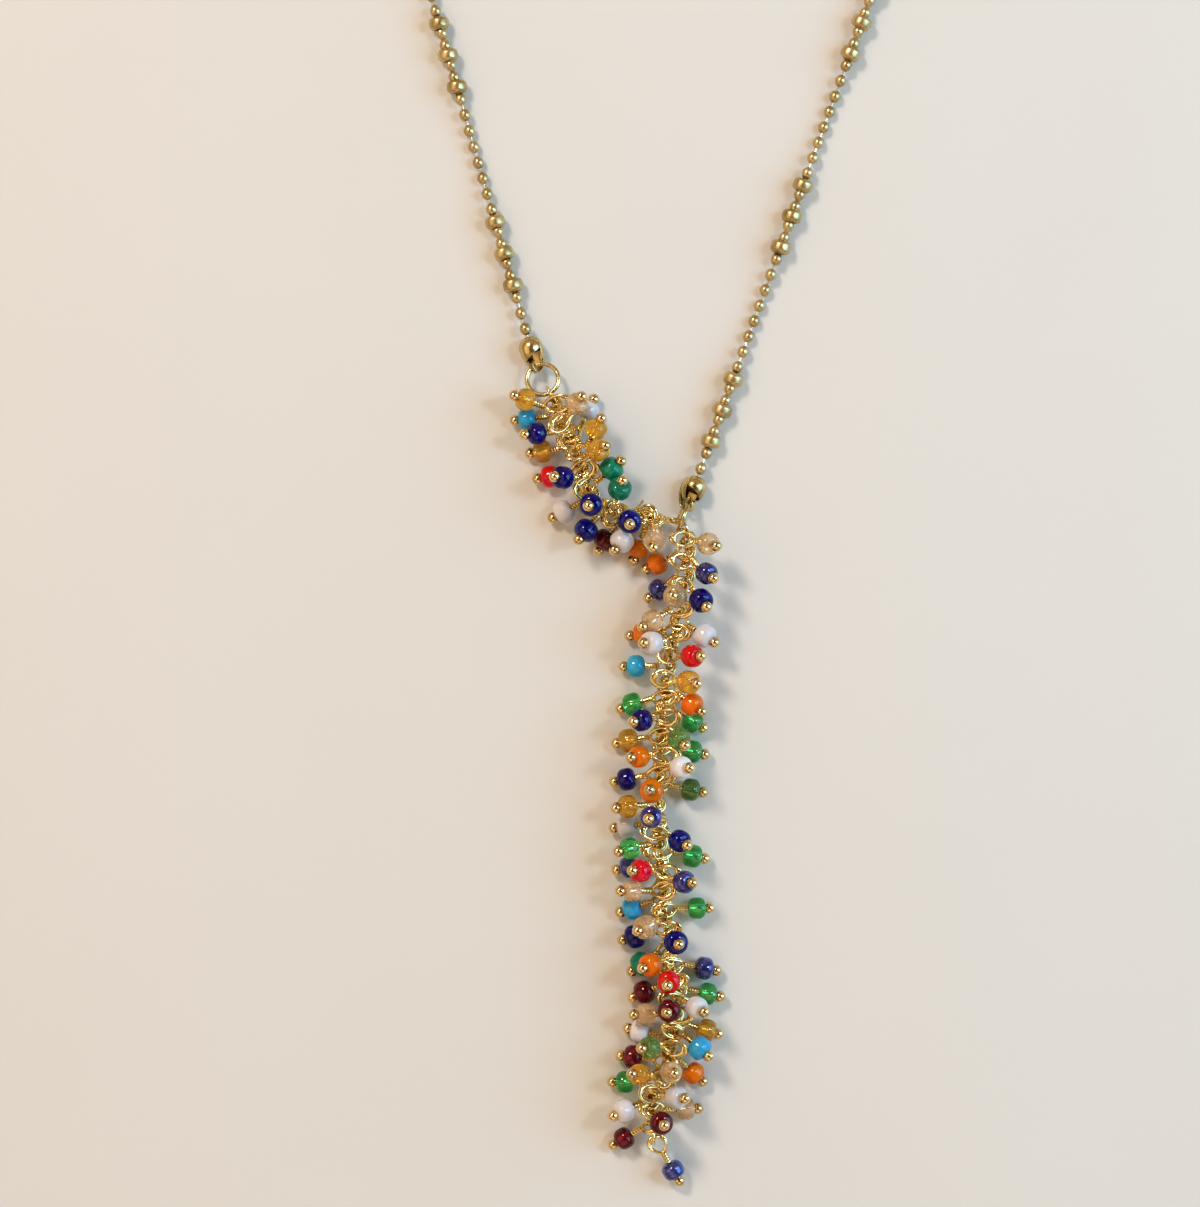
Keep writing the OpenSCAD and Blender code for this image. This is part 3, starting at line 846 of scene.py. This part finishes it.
finishPiece("headPins", parts, "head_pins", [brightGold, headGold])
print("head pins made")

# The drop's cable chain. Its upper part runs to the junction and its lower part is measured from there
drop = {
    "upper": [
        (-7.2, 31.3), (-6, 28.6), (-5.3, 26), (-4.5, 23.6), (-2.5, 21.7), (0.3, 20.8), (3.4, 20.2)],
    "lower": [
        (0.7, -2.5), (0.7, -6.2), (0, -10), (-1, -14.4), (-1.8, -19.4), (-2.4, -24.4), (-2.7, -29.4),
        (-2.9, -34.4), (-2.7, -39.4), (-2.4, -44.4), (-2, -49.4), (-1.3, -54.4), (-0.6, -59.4),
        (-1.2, -64.4), (-2.6, -68.8), (-3.5, -71.8)],
    "junctionReach": 0.66,  # from the middle of the right jump ring to the chain in it
    "height": 2.3,
    "linkWidth": 1.0,
    "linkLength": 1.42,
    "linkWire": 0.31,
    "linkTurn": 45,  # degrees from upright, to either side in turn
    "curveSteps": 8,
}


# A smooth path through points, with as many steps between two of them
def curveThrough(points, steps):
    path = []
    last = len(points) - 1
    for i in range(last):
        a, b, c, d = (points[min(max(i + k, 0), last)] for k in (-1, 0, 1, 2))
        for k in range(steps):
            t = k / steps
            bend = (2 * a - 5 * b + 4 * c - d) * t * t + (3 * b - a - 3 * c + d) * t ** 3
            path.append(0.5 * (2 * b + (c - a) * t + bend))
    return path + [points[last]]


# Evenly spaced places along a path
def spacedAlong(path, pitch):
    runs = [0.0]
    for a, b in zip(path, path[1:]):
        runs.append(runs[-1] + (b - a).length)
    count = round(runs[-1] / pitch)
    wanted = [runs[-1] * i / count for i in range(count + 1)]
    table = np.array(path)
    return [Vector([np.interp(s, runs, table[:, axis]) for axis in range(3)]) for s in wanted]


def makeLink():
    radius = (drop["linkWidth"] - drop["linkWire"]) / 2
    link = begin(
        bpy.ops.mesh.primitive_torus_add, major_segments=12, minor_segments=6,
        major_radius=radius, minor_radius=drop["linkWire"] / 2, rotation=(0, math.pi / 2, 0))
    bpy.ops.object.transform_apply()
    longer = (drop["linkLength"] - drop["linkWidth"]) / 2
    for sign in (1, -1):
        pick(link, "points", lambda point: point.z * sign > 0.05)
        bpy.ops.transform.translate(value=(0, 0, sign * longer))
    smooth(link, 60)
    link.name = "cableLink"
    return link


ringRight = centreOf("jump_ring_right")
down = sideAt(1, 10) - sideAt(1, 11)
junction = Vector((ringRight.x, ringRight.y, 0)) + drop["junctionReach"] * down.normalized()
route = [centreOf("drop_link_top")]
route += [Vector((x, y, 0)) + shift for x, y in drop["upper"]] + [junction]
route += [junction + Vector((x, y, 0)) for x, y in drop["lower"]] + [centreOf("drop_link_end")]
for point in route:
    point.z = drop["height"]
linkModel = makeLink()
path = curveThrough(route, drop["curveSteps"])
places = spacedAlong(path, drop["linkLength"] - 2 * drop["linkWire"])
parts = []
for i in range(1, len(places) - 1):
    ahead = places[i + 1] - places[i - 1]
    lean = math.radians(drop["linkTurn"] if i % 2 else -drop["linkTurn"])
    across = Matrix.Rotation(lean, 3, ahead) @ up
    parts.append(copyTo(linkModel, aim(places[i], ahead, across)))
finishPiece("dropChain", parts, "drop_chain", [chainGold])
for node in ("drop_link_top", "drop_link_end"):
    dress(node, brightGold)
print("drop chain made:", len(parts), "links")

# Jump rings, bead tips and clasp, in millimetres
finding = {
    "ring": 1.97,  # radius to the middle of the wire
    "ringWire": 0.56,
    "ringGap": 0.05,
    "ringStep": 0.06,  # by which the two ends of the wire miss each other
    "upright": 0.7,  # a ring whose normal rises less than this has its cut low down
    "cup": 1.5,
    "cupWall": 0.2,
    "cupFront": 2.35,  # how far the front of the cup would reach if it closed
    "cupOpen": 1.8,  # where it is cut open
    "cupBack": 1.4,  # where the hole in its back is cut
    "cupRim": 0.045,  # rounding of its edges
    "shortEdge": 0.05,  # slivers beside the cuts that are merged
    "seam": 0.09,
    # The strap that is rolled into the eye: along, out from the axis, width
    "strap": [
        (-0.9, 1.22, 0.9), (0.0, 1.50, 1.2), (1.0, 1.48, 1.2), (1.9, 1.22, 1.1), (2.6, 0.86, 0.9),
        (3.02, 0.36, 0.75), (3.08, -0.2, 0.7), (2.75, -0.66, 0.7), (2.2, -0.8, 0.7), (1.7, -0.55, 0.7),
        (1.52, -0.1, 0.7)],
    "strapThick": 0.24,
    "strapEdge": 0.05,
    "tongue": (1.9, 1.1, 0.2),
    "tongueEdge": 0.07,
    "tongueFaces": (0.38, 0.08, 0.92),
}
tips = {
    "left": {
        "seamLean": 50,  # degrees
        "mouth": ((1.1, -0.1, 0), (0.88, 0.48, 0.1)),  # a point and the normal of the front shell's cut
        "tongueAt": (1.5, 0.45, 0.34),
    },
    "right": {
        "seamLean": 140,
        "mouth": ((0.8, 0, 0.3), (0.86, -0.36, 0.36)),
        "tongueAt": (1.6, 0.1, 0.1),
    },
}
clasp = {
    "eye": (0.8, 0.2, -3.5),  # radius to the middle of the wire, half the wire, and place along X
    "hook": (1.6, 0.4, 3.5),
    "body": (0.8, 4.6, -0.4),  # radius, length and place
    "waist": (1.2, 0.88),  # half its length, and the share of the thickness that is left
    "edge": 0.16,
}


# A round wire ring in the XY plane with a fine cut on +X
def makeJumpRing():
    ring = begin(
        bpy.ops.mesh.primitive_torus_add, major_segments=48, minor_segments=12,
        major_radius=finding["ring"], minor_radius=finding["ringWire"] / 2)
    half = finding["ringGap"] / 2
    for sign in (1, -1):
        pick(ring, "faces", lambda centre, normal: centre.x > 0 and abs(centre.y) < 0.5)
        bpy.ops.mesh.bisect(
            plane_co=(0, sign * half, 0), plane_no=(0, 1, 0), threshold=cutPrecision)
    pick(ring, "faces", lambda centre, normal: centre.x > 0 and abs(centre.y) < half)
    bpy.ops.mesh.delete(type="FACE")
    pickAll(ring)
    bpy.ops.mesh.fill_holes(sides=0)
    pick(ring, "points", lambda point: point.x > 1 and 0 < point.y < 0.1)
    bpy.ops.transform.translate(value=(0, 0, finding["ringStep"]))
    smooth(ring, 50)
    ring.name = "jumpRing"
    return ring


# Half of the clam-shell cup, with its front along +X
def makeShell(seamWay, mouths):
    shell = addSphere(
        segments=40, ring_count=24, radius=finding["cup"], rotation=(0, math.pi / 2, 0))
    bpy.ops.object.transform_apply()
    pick(shell, "points", lambda point: point.x > 1e-4)
    bpy.ops.transform.resize(
        value=(finding["cupFront"] / finding["cup"], 1, 1), center_override=(0, 0, 0))
    for point, normal in mouths:
        cut(shell, point, normal)
    cut(shell, (-finding["cupBack"], 0, 0), (-1, 0, 0))
    cut(shell, -seamWay * finding["seam"] / 2, seamWay)
    pickAll(shell)
    bpy.ops.mesh.remove_doubles(threshold=finding["shortEdge"])
    bpy.ops.object.mode_set(mode="OBJECT")
    modify(shell, "SOLIDIFY", thickness=finding["cupWall"], offset=-1)
    soften(shell, finding["cupRim"])
    outwards(shell)
    smooth(shell, 40)
    return shell


# A band laid along its path in the XZ plane, column by column
def makeStrap():
    path = curveThrough([Vector(point) for point in finding["strap"]], 3)
    last = len(path) - 1
    lift = 50  # takes a finished column away from those that are still to be picked
    strap = begin(bpy.ops.mesh.primitive_grid_add, x_subdivisions=last, y_subdivisions=4, size=2)
    for i in range(last, -1, -1):
        at = -1 + 2 * i / last
        along, out, width = path[i]
        pick(strap, "points", lambda point: point.z == 0 and abs(point.x - at) < 0.5 / last)
        bpy.ops.transform.resize(value=(1, width / 2, 1), center_override=(0, 0, 0))
        bpy.ops.transform.translate(value=(along - at, 0, out + lift))
    pickAll(strap)
    bpy.ops.transform.translate(value=(0, 0, -lift))
    bpy.ops.object.mode_set(mode="OBJECT")
    modify(strap, "SOLIDIFY", thickness=finding["strapThick"], offset=0)
    soften(strap, finding["strapEdge"])
    outwards(strap)
    smooth(strap, 40)
    return strap


# Two shells, whose seam is rolled to one side, the strap of the back one and a folded tongue
def makeBeadTip(how):
    lean = math.radians(how["seamLean"])
    seamWay = Vector((0, math.cos(lean), -math.sin(lean)))
    opening = ((finding["cupOpen"], 0, 0), (1, 0, 0))
    front = makeShell(seamWay, [opening, how["mouth"]])
    back = makeShell(-seamWay, [opening])
    strap = makeStrap()
    strap.rotation_euler = (-math.pi / 2 - lean, 0, 0)
    tongue = begin(bpy.ops.mesh.primitive_cube_add, size=1.0)
    pickAll(tongue)
    bpy.ops.transform.resize(value=finding["tongue"])
    bpy.ops.object.mode_set(mode="OBJECT")
    soften(tongue, finding["tongueEdge"], 3)
    smooth(tongue, 50)
    tongue.matrix_world = aim(how["tongueAt"], finding["tongueFaces"], (1, 0, 0))
    tip = join([front, back, strap, tongue])
    bpy.ops.object.transform_apply()
    tip.name = "beadTip"
    return tip


# The clasp behind the neck: a waisted body along X with an eye at one end and a hook at the other
def makeClasp():
    rings = []
    for key, around, about in (("eye", 28, 10), ("hook", 40, 14)):
        radius, wire, place = clasp[key]
        rings.append(begin(
            bpy.ops.mesh.primitive_torus_add, major_segments=around, minor_segments=about,
            major_radius=radius, minor_radius=wire, location=(place, 0, 0)))
    radius, length, place = clasp["body"]
    body = begin(
        bpy.ops.mesh.primitive_cylinder_add, vertices=28, radius=radius, depth=length,
        end_fill_type="NGON", location=(place, 0, 0), rotation=(0, math.pi / 2, 0))
    bpy.ops.object.transform_apply()
    pick(body, "edges", lambda a, b: abs(a.x - b.x) > 1)
    bpy.ops.mesh.subdivide(number_cuts=11)
    half, slimmer = clasp["waist"]
    pick(body, "points", lambda point: abs(point.x - place) < half)
    bpy.ops.transform.resize(value=(1, slimmer, slimmer), center_override=(place, 0, 0))
    soften(body, clasp["edge"], 3)
    modify(body, "SUBSURF", levels=1, render_levels=1)
    whole = join([body, *rings])
    bpy.ops.object.transform_apply()
    smooth(whole, 50)
    whole.name = "clasp"
    return whole


ringModel = makeJumpRing()
tipModels = {name: makeBeadTip(how) for name, how in tips.items()}
claspModel = makeClasp()


# Lays a bead tip or the clasp at a distance along a side. Its front looks on along the side, or back
# where beyond is -1
def layOn(side, along, model, beyond=1):
    place = sideAt(side["sign"], along) + shift
    place.z = necklace["tipHeight"]
    front = (sideAt(side["sign"], along + 0.1) - sideAt(side["sign"], along - 0.1)) * beyond
    front.normalize()
    left = up.cross(front)
    where = Matrix((front, left, front.cross(left))).transposed().to_4x4()
    where.translation = place
    return copyTo(model, where)


for name, side in sides.items():
    for node, along, beyond in (
            ("bead_tip_", side["start"] - necklace["tipSlack"], -1),
            ("clasp_tip_", side["end"] + necklace["tipSlack"], 1)):
        tip = layOn(side, along, tipModels[name], beyond)
        finishPiece(node.replace("_t", "T") + name, [tip], node + name, [findingGold])
    for node in ("jump_ring_" + name, "clasp_ring_" + name):
        middle, normal = fitRing(solidsOf(node)[0])
        stands = abs(normal.z) < finding["upright"]
        cutAt = up.cross(normal) - up * 0.8 if stands else Vector((1, 0.3, 0))
        ring = copyTo(ringModel, aim(middle, normal, cutAt))
        finishPiece(node.replace("_r", "R", 1), [ring], node, [findingGold])
back = sides["left"]["end"] + necklace["tipReach"] + necklace["backReach"] + necklace["clasp"] / 2
finishPiece(
    "claspPiece", [layOn(sides["left"], back, claspModel)], "clasp", [findingGold])
print("findings made")

# Only the finished pieces stay
for model in (
        ballModel, wireModel, rondelleModel, seedModel, loopModel, shaftModel, tailModel,
        linkModel, ringModel, *tipModels.values(), claspModel):
    bpy.data.objects.remove(model)
for mesh in [mesh for mesh in bpy.data.meshes if mesh.users == 0]:
    bpy.data.meshes.remove(mesh)
bpy.data.materials.remove(firstFinish)
bpy.data.materials.remove(secondFinish)

# Surface, light and camera
studio = {
    "view": (-8.195, -54.47),  # middle of the picture, in millimetres
    "field": 150.875,  # long side of the picture
    "distance": 550.0,
    "sensor": 36,
    "nearest": 0.01,  # metres from the camera
    "surface": (0.75, 0.735, 0.712),
    "surfaceSize": 4.0,  # metres
    "surfaceRough": 0.55,
    "clouds": (30.0, 3.0),  # cycles to the metre, and detail
    "cloudShade": 0.97,
    "room": 0.37,
    "roomColour": (1.0, 0.74, 0.50),
    "roomLevels": ((0.0, 0.5), (0.35, 1.3), (0.7, 1.0), (0.9, 0.45), (1.0, 0.3)),  # height, brightness
}
# For each lamp: size in metres, power in watts, colour, and place from the middle of the picture
lamps = {
    "keyLamp": (0.20, 3.1, (1.0, 0.88, 0.76), (-0.36, 0.49, 0.70)),
    "coolWindow": (0.60, 3.35, (0.24, 0.64, 1.0), (0.68, 0.05, 0.38)),
    "leftLamp": (0.80, 1.2, (1.0, 0.76, 0.52), (-0.60, -0.10, 0.66)),
    "frontLamp": (0.80, 0.9, (1.0, 0.76, 0.52), (0.05, -0.66, 0.60)),
    "sparkLamp": (0.12, 0.75, (0.85, 0.94, 1.0), (0.42, 0.14, 0.60)),
}


def makeSurface():
    surface = begin(bpy.ops.mesh.primitive_plane_add, size=studio["surfaceSize"])
    finish = bpy.data.materials.new("paleSurface")
    finish.use_nodes = True
    tree = finish.node_tree
    shader = tree.nodes["Principled BSDF"]
    place = addNode(tree, "TexCoord").outputs["Object"]
    cloud = noise(tree, place, *studio["clouds"])
    colour = studio["surface"]
    shaded = [value * studio["cloudShade"] for value in colour]
    tree.links.new(
        mixColours(tree, cloud, (*colour, 1), (*shaded, 1)), shader.inputs["Base Color"])
    shader.inputs["Roughness"].default_value = studio["surfaceRough"]
    surface.data.materials.append(finish)
    surface.name = "paleTable"


def addLight(name, size, power, colour, place, target):
    light = bpy.data.lights.new(name, "AREA")
    light.shape = "DISK"
    light.size = size
    light.energy = power
    light.color = colour
    lamp = bpy.data.objects.new(name, light)
    bpy.context.collection.objects.link(lamp)
    lamp.location = place
    lamp.rotation_euler = (Vector(target) - Vector(place)).to_track_quat("-Z", "Y").to_euler()


# A warm room, darker overhead, where the camera is held, and low down
def makeWorld():
    world = bpy.data.worlds.new("room")
    bpy.context.scene.world = world
    world.use_nodes = True
    tree = world.node_tree
    back = tree.nodes["Background"]
    direction = addNode(tree, "TexCoord").outputs["Generated"]
    parts = addNode(tree, "SeparateXYZ")
    tree.links.new(direction, parts.inputs[0])
    ramp = addNode(tree, "ValToRGB")
    tree.links.new(parts.outputs["Z"], ramp.inputs["Fac"])
    stops = ramp.color_ramp.elements
    stops.remove(stops[1])
    for i, (height, level) in enumerate(studio["roomLevels"]):
        stop = stops[0] if i == 0 else stops.new(height)
        stop.position = height
        stop.color = (*[value * level * studio["room"] for value in studio["roomColour"]], 1)
    tree.links.new(ramp.outputs["Color"], back.inputs["Color"])


makeSurface()
makeWorld()
middle = Vector((*studio["view"], 0)) * mm
for name, (size, power, colour, offset) in lamps.items():
    addLight(name, size, power, colour, middle + Vector(offset), middle)
camera = bpy.data.objects.new("camera", bpy.data.cameras.new("camera"))
bpy.context.collection.objects.link(camera)
camera.location = middle + Vector((0, 0, studio["distance"] * mm))
camera.data.sensor_width = studio["sensor"]
camera.data.lens = studio["sensor"] * studio["distance"] / studio["field"]
camera.data.clip_start = studio["nearest"]
bpy.context.scene.camera = camera
bpy.context.scene.view_settings.view_transform = "Standard"
bpy.context.scene.view_settings.look = "Medium High Contrast"
print("light and camera set")
